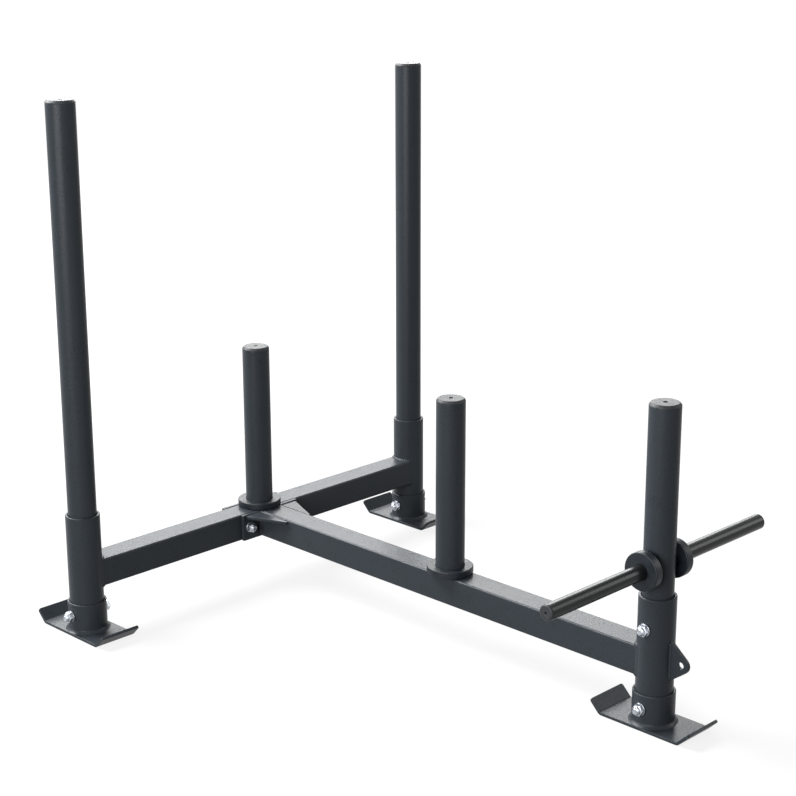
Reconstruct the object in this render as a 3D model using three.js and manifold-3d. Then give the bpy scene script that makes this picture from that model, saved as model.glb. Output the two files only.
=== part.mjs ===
// A three-skid push sled for loading with weight plates, in millimetres.
// +X runs across the sled, the front faces -Y and +Z is up. The origin is on the floor,
// halfway between the axis of the push poles and the axis of the front weight horn.

import * as THREE from "three";
import { mergeVertices } from "three/addons/utils/BufferGeometryUtils.js";
import Module from "manifold-3d";

const wasm = await Module();
wasm.setup();

// Stance of the three posts
const trackWidth = 805;
const wheelbase = 930;
const middleHornSetback = 494;

// Skids: a flat sole with both ends bent up
const skidWidth = 80;
const skidThickness = 5;
const skidFlatLength = 152;
const skidLipLength = 28;
const skidLipAngle = THREE.MathUtils.degToRad(45);
const skidBendRadius = 4;
const skidCornerRadius = 6;
const socketWall = 3.5;
const socketHeight = 52;
const skidBoltHeight = 34;

// Upright sleeves that carry the push poles and the front horn
const sleeveWall = 4;
const sleeveTop = 215;

// Push poles and weight horns, all of one tube size that fits wide-bore plates
const postDiameter = 50;
const postWall = 3;
const poleTop = 927;
const hornTop = 440;
const frontHornTop = 522;
const frontHornBoltDrop = 50;

// End caps with a vent hole
const capRise = 5;
const capLip = 1.2;
const capBevel = 3;
const capPlugDepth = 14;
const capPlugClearance = 0.4;
const capHoleDiameter = 7;

// Square beams
const beamSize = 50;
const beamWall = 3;
const beamCornerRadius = 5;
const beamBottom = 81.5;

// Bolted joint between the beams
const clampBoltSpacing = 102;
const clampPlateMargin = 16;
const clampPlateThickness = 6;
const clampPlateCornerRadius = 2;
const gussetThickness = 5;
const gussetReach = 35;
const gussetLength = 77;
const gussetSnip = 5;
const gussetDrop = 2;

// Towing lug on the front sleeve
const lugThickness = 6;
const lugHoleDiameter = 11;
const lugHoleReach = 19.5;
const lugHoleHeight = 112;
const lugTipRadius = 14;
const lugRootRise = 35;
const lugRootFall = 32;

// Side bar for small-bore plates, through the front horn
const barDiameter = 25;
const barWall = 2.5;
const barLength = 534;
const barRise = 49;
const barCapRise = 3;
const barCapBevel = 1.5;
const barCapPlugDepth = 10;
const barCapHoleDiameter = 4;

// Rubber rings that keep the plates off the frame
const hornRingDiameter = 80;
const hornRingThickness = 12.5;
const barRingDiameter = 62;
const barRingThickness = 15;
const barRingStandoff = 6.5;
const ringEdge = 1.5;

// M10 fasteners
const boltDiameter = 10;
const boltHeadHeight = 6.4;
const hexAcrossFlats = 17;
const nutHeight = 10;
const nutHexHeight = 6.5;
const nutCrownDiameter = 14;
const washerDiameter = 20;
const washerThickness = 2;
const threadShown = 1.5;

// Clearances on the radius, the gap between seated pieces, and the edge break of tube ends
const postClearance = 1;
const socketClearance = 0.5;
const boltHoleClearance = 0.5;
const barHoleClearance = 0.6;
const seatGap = 0.3;
const tubeEdge = 0.8;

// Roundness of the turned shapes; an extruded outline gets two chords a step on every arc
const tubeSides = 36;
const capSides = 24;
const fastenerSides = 16;
const cornerSteps = 2;
const lugTipSteps = 6;

// Sizes and places that follow from the driving dimensions
const sleeveDiameter = postDiameter + 2 * (postClearance + sleeveWall);
const socketDiameter = sleeveDiameter + 2 * (socketClearance + socketWall);
const clampPlateWidth = clampBoltSpacing + 2 * clampPlateMargin;
const rearAxisY = wheelbase / 2;
const frontAxisY = -wheelbase / 2;
const middleAxisY = rearAxisY - middleHornSetback;
const beamTop = beamBottom + beamSize;
const beamCentreHeight = beamBottom + beamSize / 2;
const sleeveBottom = skidThickness;
const footBoltTop = skidBoltHeight + boltDiameter / 2;
const postBottom = footBoltTop + seatGap;
const clampFaceY = rearAxisY - beamSize / 2 - clampPlateThickness;
const boltHoleDiameter = boltDiameter + 2 * boltHoleClearance;
const barHoleDiameter = barDiameter + 2 * barHoleClearance;
const barHeight = sleeveTop + barRise;
const frontHornBoltHeight = sleeveTop - frontHornBoltDrop;

const sled = new THREE.Group();

// Finishes
const finishes = {
  powderCoat: { color: 0x34373d, roughness: 0.5, metalness: 0.3 },
  barPaint: { color: 0x2a2c2f, roughness: 0.35, metalness: 0.3 },
  zinc: { color: 0xc9ccd2, roughness: 0.3, metalness: 0.9 },
  capPlastic: { color: 0x3b3c3e, roughness: 0.55, metalness: 0 },
  rubber: { color: 0x1d1e1f, roughness: 0.8, metalness: 0 },
};

function addPiece(parent, name, geometry, finish, position = [0, 0, 0]) {
  const material = new THREE.MeshStandardMaterial(finishes[finish]);
  const piece = new THREE.Mesh(geometry, material);
  piece.name = name;
  piece.position.set(...position);
  parent.add(piece);
}

// Solid geometry
function solidFrom(geometry) {
  const bare = geometry.clone();
  bare.deleteAttribute("normal");
  bare.deleteAttribute("uv");
  const skin = mergeVertices(bare);
  const mesh = new wasm.Mesh({
    numProp: 3,
    vertProperties: new Float32Array(skin.attributes.position.array),
    triVerts: new Uint32Array(skin.index.array),
  });
  return new wasm.Manifold(mesh);
}

function geometryFrom(solid) {
  const mesh = solid.getMesh();
  const geometry = new THREE.BufferGeometry();
  geometry.setAttribute("position", new THREE.BufferAttribute(mesh.vertProperties, 3));
  geometry.setIndex(new THREE.BufferAttribute(mesh.triVerts, 1));
  return geometry;
}

function cut(geometry, ...cutters) {
  let solid = solidFrom(geometry);
  for (const cutter of cutters) {
    solid = solid.subtract(solidFrom(cutter));
  }
  return geometryFrom(solid);
}

function revolve(profile, sides) {
  const points = profile.map(([radius, height]) => new THREE.Vector2(radius, height));
  return new THREE.LatheGeometry(points, sides).rotateX(Math.PI / 2);
}

// Extrudes an outline drawn in the Y-Z plane along X, centred on X = 0
function extrudeAcross(outline, width, curveSegments = cornerSteps) {
  const settings = { depth: width, bevelEnabled: false, curveSegments };
  const geometry = new THREE.ExtrudeGeometry(outline, settings);
  const across = new THREE.Matrix4().makeBasis(
    new THREE.Vector3(0, 1, 0),
    new THREE.Vector3(0, 0, 1),
    new THREE.Vector3(1, 0, 0),
  );
  return geometry.applyMatrix4(across).translate(-width / 2, 0, 0);
}

function roundedRectangle(PathType, width, height, radius) {
  const x = width / 2 - radius;
  const y = height / 2 - radius;
  const outline = new PathType();
  outline.absarc(x, y, radius, 0, Math.PI / 2);
  outline.absarc(-x, y, radius, Math.PI / 2, Math.PI);
  outline.absarc(-x, -y, radius, Math.PI, 1.5 * Math.PI);
  outline.absarc(x, -y, radius, 1.5 * Math.PI, 2 * Math.PI);
  outline.closePath();
  return outline;
}

// A solid round bar along one axis, centred on the given point
function roundBar(diameter, length, axis, position = [0, 0, 0]) {
  const bar = new THREE.CylinderGeometry(diameter / 2, diameter / 2, length, fastenerSides);
  if (axis === "x") {
    bar.rotateZ(Math.PI / 2);
  }
  if (axis === "z") {
    bar.rotateX(Math.PI / 2);
  }
  return bar.translate(...position);
}

function roundTube(diameter, wall, length) {
  const outer = diameter / 2;
  const inner = outer - wall;
  return revolve([
    [inner, 0],
    [outer - tubeEdge, 0],
    [outer, tubeEdge],
    [outer, length - tubeEdge],
    [outer - tubeEdge, length],
    [inner, length],
    [inner, 0],
  ], tubeSides);
}

// Square tube along X, centred on the origin
function squareTube(length) {
  const section = roundedRectangle(THREE.Shape, beamSize, beamSize, beamCornerRadius);
  const bore = beamSize - 2 * beamWall;
  section.holes.push(roundedRectangle(THREE.Path, bore, bore, beamCornerRadius - beamWall));
  return extrudeAcross(section, length);
}

// Cutter that copes a beam end to the round sleeve it is welded to
function sleeveCutter(position) {
  const radius = sleeveDiameter / 2 + seatGap;
  const reach = beamSize;
  const profile = [[0, -reach], [radius, -reach], [radius, reach], [0, reach]];
  return revolve(profile, tubeSides).translate(...position);
}

// The cap's plug points down into the tube, and its lip sits on the tube's end
function endCap(tubeDiameter, wall, rise, bevel, plugDepth, holeDiameter) {
  const outer = tubeDiameter / 2;
  const plug = outer - wall - capPlugClearance;
  const hole = holeDiameter / 2;
  return revolve([
    [hole, -plugDepth],
    [plug, -plugDepth],
    [plug, 0],
    [outer, 0],
    [outer, capLip],
    [outer - bevel, rise],
    [hole, rise],
    [hole, -plugDepth],
  ], capSides);
}

function stopRing(diameter, boreDiameter, thickness) {
  const outer = diameter / 2;
  const inner = boreDiameter / 2 + seatGap;
  return revolve([
    [inner, 0],
    [outer - ringEdge, 0],
    [outer, ringEdge],
    [outer, thickness - ringEdge],
    [outer - ringEdge, thickness],
    [inner, thickness],
    [inner, 0],
  ], tubeSides);
}

// Hex prism along Z, centred on the given height
function hexPrism(height, centre) {
  const radius = hexAcrossFlats / 2 / Math.cos(Math.PI / 6);
  const prism = new THREE.CylinderGeometry(radius, radius, height, 6);
  return prism.rotateX(Math.PI / 2).translate(0, 0, centre);
}

// Hex bolt, lock nut and two washers in one group. The grip is centred on the group's
// origin, and the head points along the group's +Z.
function boltSet(name, grip, position, rotation) {
  const group = new THREE.Group();
  const washerSeat = grip / 2 + seatGap;
  const headSeat = washerSeat + washerThickness + seatGap;
  const headCentre = headSeat + boltHeadHeight / 2;
  const shankLength = headCentre + headSeat + nutHeight + threadShown;
  const shankCentre = [0, 0, headCentre - shankLength / 2];
  const head = solidFrom(hexPrism(boltHeadHeight, headCentre));
  const shank = solidFrom(roundBar(boltDiameter, shankLength, "z", shankCentre));
  addPiece(group, `${name}_bolt`, geometryFrom(head.add(shank)), "zinc");

  const hole = boltDiameter / 2 + seatGap;
  const washer = revolve([
    [hole, 0],
    [washerDiameter / 2, 0],
    [washerDiameter / 2, washerThickness],
    [hole, washerThickness],
    [hole, 0],
  ], fastenerSides);
  addPiece(group, `${name}_head_washer`, washer, "zinc", [0, 0, washerSeat]);
  addPiece(group, `${name}_nut_washer`, washer, "zinc", [0, 0, -washerSeat - washerThickness]);

  const hex = solidFrom(hexPrism(nutHexHeight, -nutHexHeight / 2));
  const crown = solidFrom(roundBar(nutCrownDiameter, nutHeight, "z", [0, 0, -nutHeight / 2]));
  const nutBlank = geometryFrom(hex.add(crown));
  const nut = cut(nutBlank, roundBar(2 * hole, 3 * nutHeight, "z"));
  addPiece(group, `${name}_nut`, nut, "zinc", [0, 0, -headSeat]);

  group.position.set(...position);
  group.rotation.set(...rotation);
  sled.add(group);
}

// Skid plate: one strip bent up at both ends, with rounded corners seen from above
function skidPlate() {
  const half = skidFlatLength / 2;
  const skidBendOuter = skidBendRadius + skidThickness;
  const setback = skidBendOuter * Math.tan(skidLipAngle / 2);
  const lipRun = skidLipLength * Math.cos(skidLipAngle);
  const lipRise = skidLipLength * Math.sin(skidLipAngle);
  const edgeRun = skidThickness * Math.sin(skidLipAngle);
  const edgeRise = skidThickness * Math.cos(skidLipAngle);
  const down = -Math.PI / 2;
  const strip = new THREE.Shape();
  strip.absarc(half - setback, skidBendOuter, skidBendOuter, down, down + skidLipAngle);
  strip.lineTo(half + lipRun, lipRise);
  strip.lineTo(half + lipRun - edgeRun, lipRise + edgeRise);
  strip.absarc(half - setback, skidBendOuter, skidBendRadius, down + skidLipAngle, down, true);
  strip.absarc(setback - half, skidBendOuter, skidBendRadius, down, down - skidLipAngle, true);
  strip.lineTo(-half - lipRun + edgeRun, lipRise + edgeRise);
  strip.lineTo(-half - lipRun, lipRise);
  strip.absarc(setback - half, skidBendOuter, skidBendOuter, down - skidLipAngle, down);
  strip.closePath();
  const bent = extrudeAcross(strip, skidWidth);

  const length = 2 * (half + lipRun);
  const height = lipRise + edgeRise;
  const plan = roundedRectangle(THREE.Shape, skidWidth, length, skidCornerRadius);
  const planSettings = { depth: 3 * height, bevelEnabled: false, curveSegments: cornerSteps };
  const blank = new THREE.ExtrudeGeometry(plan, planSettings).translate(0, 0, -height);
  return geometryFrom(solidFrom(bent).intersect(solidFrom(blank)));
}

// Each foot is a skid plate with a socket welded on it; the sleeve stands in the socket
// and one bolt goes through both.
const sleeveLength = sleeveTop - sleeveBottom;
const skidBoltDrill = [0, 0, skidBoltHeight - skidThickness];
const feet = [
  { side: "left", x: -trackWidth / 2, y: rearAxisY },
  { side: "right", x: trackWidth / 2, y: rearAxisY },
  { side: "front", x: 0, y: frontAxisY },
];
for (const { side, x, y } of feet) {
  addPiece(sled, `${side}_skid_plate`, skidPlate(), "powderCoat", [x, y, 0]);

  const boltHole = roundBar(boltHoleDiameter, 2 * socketDiameter, "x", skidBoltDrill);
  const socket = cut(roundTube(socketDiameter, socketWall, socketHeight), boltHole);
  addPiece(sled, `${side}_skid_socket`, socket, "powderCoat", [x, y, skidThickness]);

  const drills = [boltHole];
  if (side === "front") {
    const hornBoltDrill = [0, 0, frontHornBoltHeight - sleeveBottom];
    drills.push(roundBar(boltHoleDiameter, 2 * sleeveDiameter, "x", hornBoltDrill));
  }
  const sleeve = cut(roundTube(sleeveDiameter, sleeveWall, sleeveLength), ...drills);
  addPiece(sled, `${side}_sleeve`, sleeve, "powderCoat", [x, y, sleeveBottom]);

  boltSet(`${side}_skid`, socketDiameter, [x, y, skidBoltHeight], [0, Math.PI / 2, 0]);
}

// Cross-beam between the rear sleeves, coped to them and drilled for the joint bolts
const clampBoltDrills = [-1, 1].map((hand) => {
  const place = [hand * clampBoltSpacing / 2, 0, 0];
  return roundBar(boltHoleDiameter, 2 * beamSize, "y", place);
});
const crossBeam = cut(
  squareTube(trackWidth),
  sleeveCutter([-trackWidth / 2, 0, 0]),
  sleeveCutter([trackWidth / 2, 0, 0]),
  ...clampBoltDrills,
);
addPiece(sled, "cross_beam", crossBeam, "powderCoat", [0, rearAxisY, beamCentreHeight]);

// Main beam from the front clamp plate to the front sleeve
const mainBeamRearY = clampFaceY - seatGap;
const mainBeamLength = mainBeamRearY - frontAxisY;
const mainBeamBlank = squareTube(mainBeamLength).rotateZ(Math.PI / 2);
const mainBeamCutter = sleeveCutter([0, -mainBeamLength / 2, 0]);
const mainBeamY = mainBeamRearY - mainBeamLength / 2;
const mainBeam = cut(mainBeamBlank, mainBeamCutter);
addPiece(sled, "main_beam", mainBeam, "powderCoat", [0, mainBeamY, beamCentreHeight]);

// Clamp plates in front of and behind the cross-beam, drawn together by two bolts
const clampOutline = roundedRectangle(
  THREE.Shape,
  beamSize,
  clampPlateWidth,
  clampPlateCornerRadius,
);
const clampSettings = {
  depth: clampPlateThickness,
  bevelEnabled: false,
  curveSegments: cornerSteps,
};
// The outline's x is the plate's height and its y the plate's width
const standUp = new THREE.Matrix4().makeBasis(
  new THREE.Vector3(0, 0, 1),
  new THREE.Vector3(1, 0, 0),
  new THREE.Vector3(0, 1, 0),
);
const clampBlank = new THREE.ExtrudeGeometry(clampOutline, clampSettings).applyMatrix4(standUp);
const clampPlate = cut(clampBlank, ...clampBoltDrills);
const rearClampY = rearAxisY + beamSize / 2;
addPiece(sled, "front_clamp_plate", clampPlate, "powderCoat", [0, clampFaceY, beamCentreHeight]);
addPiece(sled, "rear_clamp_plate", clampPlate, "powderCoat", [0, rearClampY, beamCentreHeight]);

const clampGrip = beamSize + 2 * clampPlateThickness;
for (const [side, hand] of [["left", -1], ["right", 1]]) {
  const place = [hand * clampBoltSpacing / 2, rearAxisY, beamCentreHeight];
  boltSet(`${side}_clamp`, clampGrip, place, [-Math.PI / 2, 0, 0]);
}

// Gussets: triangles in the corners between the main beam and the front clamp plate
for (const [side, hand] of [["left", -1], ["right", 1]]) {
  const inner = beamSize / 2;
  const outline = new THREE.Shape();
  outline.moveTo(hand * inner, 0);
  outline.lineTo(hand * (inner + gussetReach), 0);
  outline.lineTo(hand * (inner + gussetReach), -gussetSnip);
  outline.lineTo(hand * (inner + gussetSnip), -gussetLength);
  outline.lineTo(hand * inner, -gussetLength);
  outline.closePath();
  const gussetSettings = { depth: gussetThickness, bevelEnabled: false };
  const gusset = new THREE.ExtrudeGeometry(outline, gussetSettings);
  const gussetBottom = beamTop - gussetDrop - gussetThickness;
  addPiece(sled, `${side}_gusset`, gusset, "powderCoat", [0, clampFaceY, gussetBottom]);
}

// Towing lug: a rounded triangle on the centre line of the front sleeve
function tangentPoint(corner, side) {
  const distance = corner.length();
  const spread = Math.acos(lugTipRadius / distance);
  const angle = corner.angle() + side * spread;
  return { angle, x: lugTipRadius * Math.cos(angle), y: lugTipRadius * Math.sin(angle) };
}
const lugRoot = sleeveDiameter / 2 + lugHoleReach;
const lugRootReach = lugHoleReach - seatGap;
const lugUpper = new THREE.Vector2(lugRootReach, lugRootRise);
const lugLower = new THREE.Vector2(lugRootReach, -lugRootFall);
const upperTangent = tangentPoint(lugUpper, 1);
const lowerTangent = tangentPoint(lugLower, -1);
const lugOutline = new THREE.Shape();
lugOutline.moveTo(lugLower.x, lugLower.y);
lugOutline.lineTo(lugUpper.x, lugUpper.y);
lugOutline.lineTo(upperTangent.x, upperTangent.y);
lugOutline.absarc(0, 0, lugTipRadius, upperTangent.angle, lowerTangent.angle);
lugOutline.closePath();
const lugBlank = extrudeAcross(lugOutline, lugThickness, lugTipSteps);
const lug = cut(lugBlank, roundBar(lugHoleDiameter, 2 * lugThickness, "x"));
addPiece(sled, "tow_lug", lug, "powderCoat", [0, frontAxisY - lugRoot, lugHoleHeight]);

// Push poles: each stands loose in its sleeve on the skid bolt and lifts out
for (const [side, hand] of [["left", -1], ["right", 1]]) {
  const x = hand * trackWidth / 2;
  const tubeTop = poleTop - capRise;
  const pole = roundTube(postDiameter, postWall, tubeTop - postBottom);
  addPiece(sled, `${side}_push_pole`, pole, "powderCoat", [x, rearAxisY, postBottom]);
  const cap = endCap(postDiameter, postWall, capRise, capBevel, capPlugDepth, capHoleDiameter);
  addPiece(sled, `${side}_push_pole_cap`, cap, "capPlastic", [x, rearAxisY, tubeTop]);
}

// Weight horns: two welded on the beams, and a third bolted in the front sleeve
const horns = [
  { place: "rear", y: rearAxisY, bottom: beamTop, top: hornTop },
  { place: "middle", y: middleAxisY, bottom: beamTop, top: hornTop },
  { place: "front", y: frontAxisY, bottom: postBottom, top: frontHornTop },
];
for (const { place, y, bottom, top } of horns) {
  const tubeTop = top - capRise;
  let horn = roundTube(postDiameter, postWall, tubeTop - bottom);
  if (place === "front") {
    const boltHole = [0, 0, frontHornBoltHeight - bottom];
    const barHole = [0, 0, barHeight - bottom];
    horn = cut(
      horn,
      roundBar(boltHoleDiameter, 2 * postDiameter, "x", boltHole),
      roundBar(barHoleDiameter, 2 * postDiameter, "x", barHole),
    );
  }
  addPiece(sled, `${place}_horn`, horn, "powderCoat", [0, y, bottom]);
  const cap = endCap(postDiameter, postWall, capRise, capBevel, capPlugDepth, capHoleDiameter);
  addPiece(sled, `${place}_horn_cap`, cap, "capPlastic", [0, y, tubeTop]);
  if (place !== "front") {
    const ring = stopRing(hornRingDiameter, postDiameter, hornRingThickness);
    addPiece(sled, `${place}_horn_ring`, ring, "rubber", [0, y, bottom]);
  }
}
boltSet("front_horn", sleeveDiameter, [0, frontAxisY, frontHornBoltHeight], [0, Math.PI / 2, 0]);

// Side bar: one tube welded through the front horn, with a stop ring just outside each
// weld and a cap in each end. The group's +Z points along the bar, to the sled's left.
const sideBar = new THREE.Group();
const barTubeLength = barLength - 2 * (barCapRise + seatGap);
const barTube = roundTube(barDiameter, barWall, barTubeLength);
addPiece(sideBar, "side_bar", barTube, "barPaint", [0, 0, -barTubeLength / 2]);
for (const [side, hand] of [["left", 1], ["right", -1]]) {
  const ringSeat = postDiameter / 2 + barRingStandoff;
  const ring = stopRing(barRingDiameter, barDiameter, barRingThickness);
  const ringStart = hand > 0 ? ringSeat : -ringSeat - barRingThickness;
  addPiece(sideBar, `${side}_bar_ring`, ring, "rubber", [0, 0, ringStart]);

  const cap = endCap(
    barDiameter,
    barWall,
    barCapRise,
    barCapBevel,
    barCapPlugDepth,
    barCapHoleDiameter,
  );
  if (hand < 0) {
    cap.rotateX(Math.PI);
  }
  const capSeat = hand * (barTubeLength / 2 + seatGap);
  addPiece(sideBar, `${side}_bar_cap`, cap, "capPlastic", [0, 0, capSeat]);
}
sideBar.position.set(0, frontAxisY, barHeight);
sideBar.rotation.set(0, -Math.PI / 2, 0);
sled.add(sideBar);

export default sled;
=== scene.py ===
from math import acos, cos, pi, radians, sin, sqrt, tan, tau

import bmesh
import bpy
from mathutils import Matrix, Vector


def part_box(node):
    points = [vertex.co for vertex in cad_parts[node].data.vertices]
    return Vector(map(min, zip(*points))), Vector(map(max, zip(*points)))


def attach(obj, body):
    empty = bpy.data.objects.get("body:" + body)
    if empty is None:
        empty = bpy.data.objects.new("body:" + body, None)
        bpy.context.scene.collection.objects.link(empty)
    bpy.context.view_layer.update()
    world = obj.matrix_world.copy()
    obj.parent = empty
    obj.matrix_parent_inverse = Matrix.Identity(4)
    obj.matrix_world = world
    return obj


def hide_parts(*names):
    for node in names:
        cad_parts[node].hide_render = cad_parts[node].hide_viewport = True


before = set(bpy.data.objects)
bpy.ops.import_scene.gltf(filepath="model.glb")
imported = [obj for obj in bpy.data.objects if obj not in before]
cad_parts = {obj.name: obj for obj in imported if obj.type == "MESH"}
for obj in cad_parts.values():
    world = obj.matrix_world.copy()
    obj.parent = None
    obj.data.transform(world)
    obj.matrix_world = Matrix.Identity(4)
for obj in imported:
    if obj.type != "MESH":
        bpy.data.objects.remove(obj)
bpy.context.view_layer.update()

# A push sled on three skids, for loading with weight plates. Metres, +X across the sled, the front
# faces -Y, +Z up. Each piece takes its place from the CAD node that it stands for.


# Skid plates
# Each is a strip of 5 mm mild steel, 80 mm wide, whose two ends are pressed up by 45 degrees so
# that it slides over turf. It is sheared, bent, then powder coated with its socket welded on.
skid_width = 0.080
skid_thickness = 0.005
skid_half_flat = 0.076
skid_lip_length = 0.028
skid_lip_angle = radians(45)
skid_bend_radius = 0.004
skid_plan_corner = 0.0045
skid_round_steps = 6
skid_sheared_edge = 0.0009
tone_low = 0.3
tone_high = 0.7
edge_steps = 3
sharp_angle = radians(40)
same_place = 1e-6


def linear(hex_colour):
    channels = [int(hex_colour[i:i + 2], 16) / 255 for i in (1, 3, 5)]
    return [c / 12.92 if c <= 0.04045 else ((c + 0.055) / 1.055) ** 2.4 for c in channels] + [1.0]


def add_node(material, kind, settings=None, links=None):
    tree = material.node_tree
    node = tree.nodes.new(kind)
    for name, value in (settings or {}).items():
        if isinstance(name, int) or name in node.inputs:
            node.inputs[name].default_value = value
        else:
            setattr(node, name, value)
    for name, source in (links or {}).items():
        tree.links.new(source, node.inputs[name])
    return node


def new_finish(name):
    material = bpy.data.materials.new(name)
    material.use_nodes = True
    material.node_tree.nodes.clear()
    return material


def tint(material, factor, low, high):
    # Two tones, blended over the middle of the noise's range, where most of its values lie
    ramp = add_node(material, "ShaderNodeValToRGB", links={"Fac": factor})
    ramp.color_ramp.elements[0].color = linear(low)
    ramp.color_ramp.elements[0].position = tone_low
    ramp.color_ramp.elements[1].color = linear(high)
    ramp.color_ramp.elements[1].position = tone_high
    return ramp.outputs["Color"]


# Polyester powder coat, charcoal, satin with a fine texture: near black face on, with a soft grey
# bloom at a low angle. The real coat's grain is about 0.4 mm, drawn at 2.4 mm so that it shows,
# over an orange peel of 5 mm and clouds of tone of 36 mm.
powder_coat = new_finish("charcoal_texture_powder_coat")
place = add_node(powder_coat, "ShaderNodeTexCoord").outputs["Object"]
cloud = add_node(
    powder_coat, "ShaderNodeTexNoise", {"Scale": 28.0, "Detail": 3.0}, {"Vector": place}
)
grain = add_node(
    powder_coat, "ShaderNodeTexNoise", {"Scale": 420.0, "Detail": 3.0}, {"Vector": place}
)
peel = add_node(
    powder_coat, "ShaderNodeTexNoise", {"Scale": 210.0, "Detail": 1.0}, {"Vector": place}
)
# The tone follows the grain, with half as much of the cloud
mottle = add_node(
    powder_coat, "ShaderNodeMath", {"operation": "MULTIPLY_ADD", 1: 1.1, 2: -0.05},
    {0: grain.outputs["Fac"]},
)
blotch = add_node(
    powder_coat, "ShaderNodeMath", {"operation": "MULTIPLY_ADD", 1: 0.5},
    {0: cloud.outputs["Fac"], 2: mottle.outputs["Value"]},
)
coat_gloss = add_node(
    powder_coat, "ShaderNodeMapRange", {"To Min": 0.26, "To Max": 0.44},
    {"Value": grain.outputs["Fac"]},
)
coat_peel = add_node(
    powder_coat, "ShaderNodeBump", {"Strength": 0.3, "Distance": 0.0004},
    {"Height": peel.outputs["Fac"]},
)
coat_relief = add_node(
    powder_coat, "ShaderNodeBump", {"Strength": 0.5, "Distance": 0.0004},
    {"Height": grain.outputs["Fac"], "Normal": coat_peel.outputs["Normal"]},
)
coat = add_node(
    powder_coat, "ShaderNodeBsdfPrincipled", {"IOR": 1.5, "Specular IOR Level": 0.09},
    {
        "Base Color": tint(powder_coat, blotch.outputs["Value"], "#16191c", "#22262a"),
        "Roughness": coat_gloss.outputs["Result"],
        "Normal": coat_relief.outputs["Normal"],
    },
)
add_node(powder_coat, "ShaderNodeOutputMaterial", links={"Surface": coat.outputs["BSDF"]})


def soften(mesh, width):
    edges = [
        edge for edge in mesh.edges
        if edge.is_manifold and edge.calc_face_angle(0) > sharp_angle
    ]
    bmesh.ops.bevel(
        mesh, geom=edges, offset=width, offset_type="OFFSET", affect="EDGES",
        segments=edge_steps, profile=0.5, material=-1, clamp_overlap=True,
    )


def add_piece(name, mesh, finish, replaced=(), body="frame"):
    # Closes the mesh, turns its faces outwards, gives the piece its body and a slot for its
    # finish, and hides the CAD nodes that it stands for
    bmesh.ops.remove_doubles(mesh, verts=mesh.verts, dist=same_place)
    bmesh.ops.recalc_face_normals(mesh, faces=mesh.faces)
    if mesh.calc_volume(signed=True) < 0:
        bmesh.ops.reverse_faces(mesh, faces=mesh.faces)
    data = bpy.data.meshes.new(name)
    mesh.to_mesh(data)
    mesh.free()
    data.materials.append(finish)
    data.shade_smooth()
    data.set_sharp_from_angle(angle=sharp_angle)
    piece = bpy.data.objects.new(name, data)
    bpy.context.scene.collection.objects.link(piece)
    evened = piece.modifiers.new("flats_stay_flat", "WEIGHTED_NORMAL")
    evened.keep_sharp = True
    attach(piece, body)
    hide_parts(*replaced)


def centre(node):
    low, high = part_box(node)
    return (low + high) / 2


def upright(node):
    # Carries a mesh that is drawn round Z over to the axis of an upright node
    middle = centre(node)
    return Matrix.Translation((middle.x, middle.y, 0))


def bend_corners(mesh, corners, tangent, steps):
    bmesh.ops.bevel(
        mesh, geom=corners, offset=tangent, offset_type="OFFSET", affect="VERTICES",
        segments=steps, profile=0.5, material=-1,
    )


def pull(mesh, way):
    pulled = bmesh.ops.extrude_face_region(mesh, geom=mesh.faces[:])["geom"]
    far_side = [item for item in pulled if isinstance(item, bmesh.types.BMVert)]
    bmesh.ops.translate(mesh, vec=way, verts=far_side)


bend = tan(skid_lip_angle / 2)
outer_tangent = (skid_bend_radius + skid_thickness) * bend
inner_tangent = skid_bend_radius * bend
run = skid_lip_length * cos(skid_lip_angle)
rise = skid_lip_length * sin(skid_lip_angle)
lip_edge = skid_thickness * sin(skid_lip_angle)
inner_half = skid_half_flat - skid_thickness * bend
lip_tip_from = skid_half_flat + run - 1.5 * lip_edge
# The strip seen from its side, as (along, up): the sole, then the inner face on the way back
skid_outline = [
    (-skid_half_flat - run, rise),
    (-skid_half_flat, 0),
    (skid_half_flat, 0),
    (skid_half_flat + run, rise),
    (skid_half_flat + run - lip_edge, rise + lip_edge),
    (inner_half, skid_thickness),
    (-inner_half, skid_thickness),
    (-skid_half_flat - run + lip_edge, rise + lip_edge),
]

for side in ("left", "right", "front"):
    mesh = bmesh.new()
    corners = [mesh.verts.new((-skid_width / 2, y, z)) for y, z in skid_outline]
    mesh.faces.new(corners)
    bend_corners(mesh, corners[1:3], outer_tangent, skid_round_steps)
    bend_corners(mesh, corners[5:7], inner_tangent, skid_round_steps)
    pull(mesh, (skid_width, 0, 0))
    # The four corners of the plan, each an edge through the thickness at the tip of a lip
    lip_corners = [
        edge for edge in mesh.edges
        if all(abs(vertex.co.y) > lip_tip_from for vertex in edge.verts)
        and abs(edge.verts[0].co.x - edge.verts[1].co.x) < same_place
    ]
    bmesh.ops.bevel(
        mesh, geom=lip_corners, offset=skid_plan_corner, offset_type="OFFSET", affect="EDGES",
        segments=skid_round_steps, profile=0.5, material=-1,
    )
    soften(mesh, skid_sheared_edge)
    bmesh.ops.transform(mesh, matrix=upright(f"{side}_skid_plate"), verts=mesh.verts)
    add_piece(f"{side}_skid", mesh, powder_coat, [f"{side}_skid_plate"])


# Skid sockets
# Short lengths of 68 mm tube with a 3.5 mm wall, stood on the skids and welded all round with one
# smooth fillet. The sleeve drops in with half a millimetre to spare, which shows as a dark line.
socket_radius = 0.034
socket_wall = 0.0035
socket_bottom = 0.005
socket_top = 0.057
sawn_edge = 0.0008
rim_edge = 0.0014
socket_fillet = 0.0052
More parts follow.
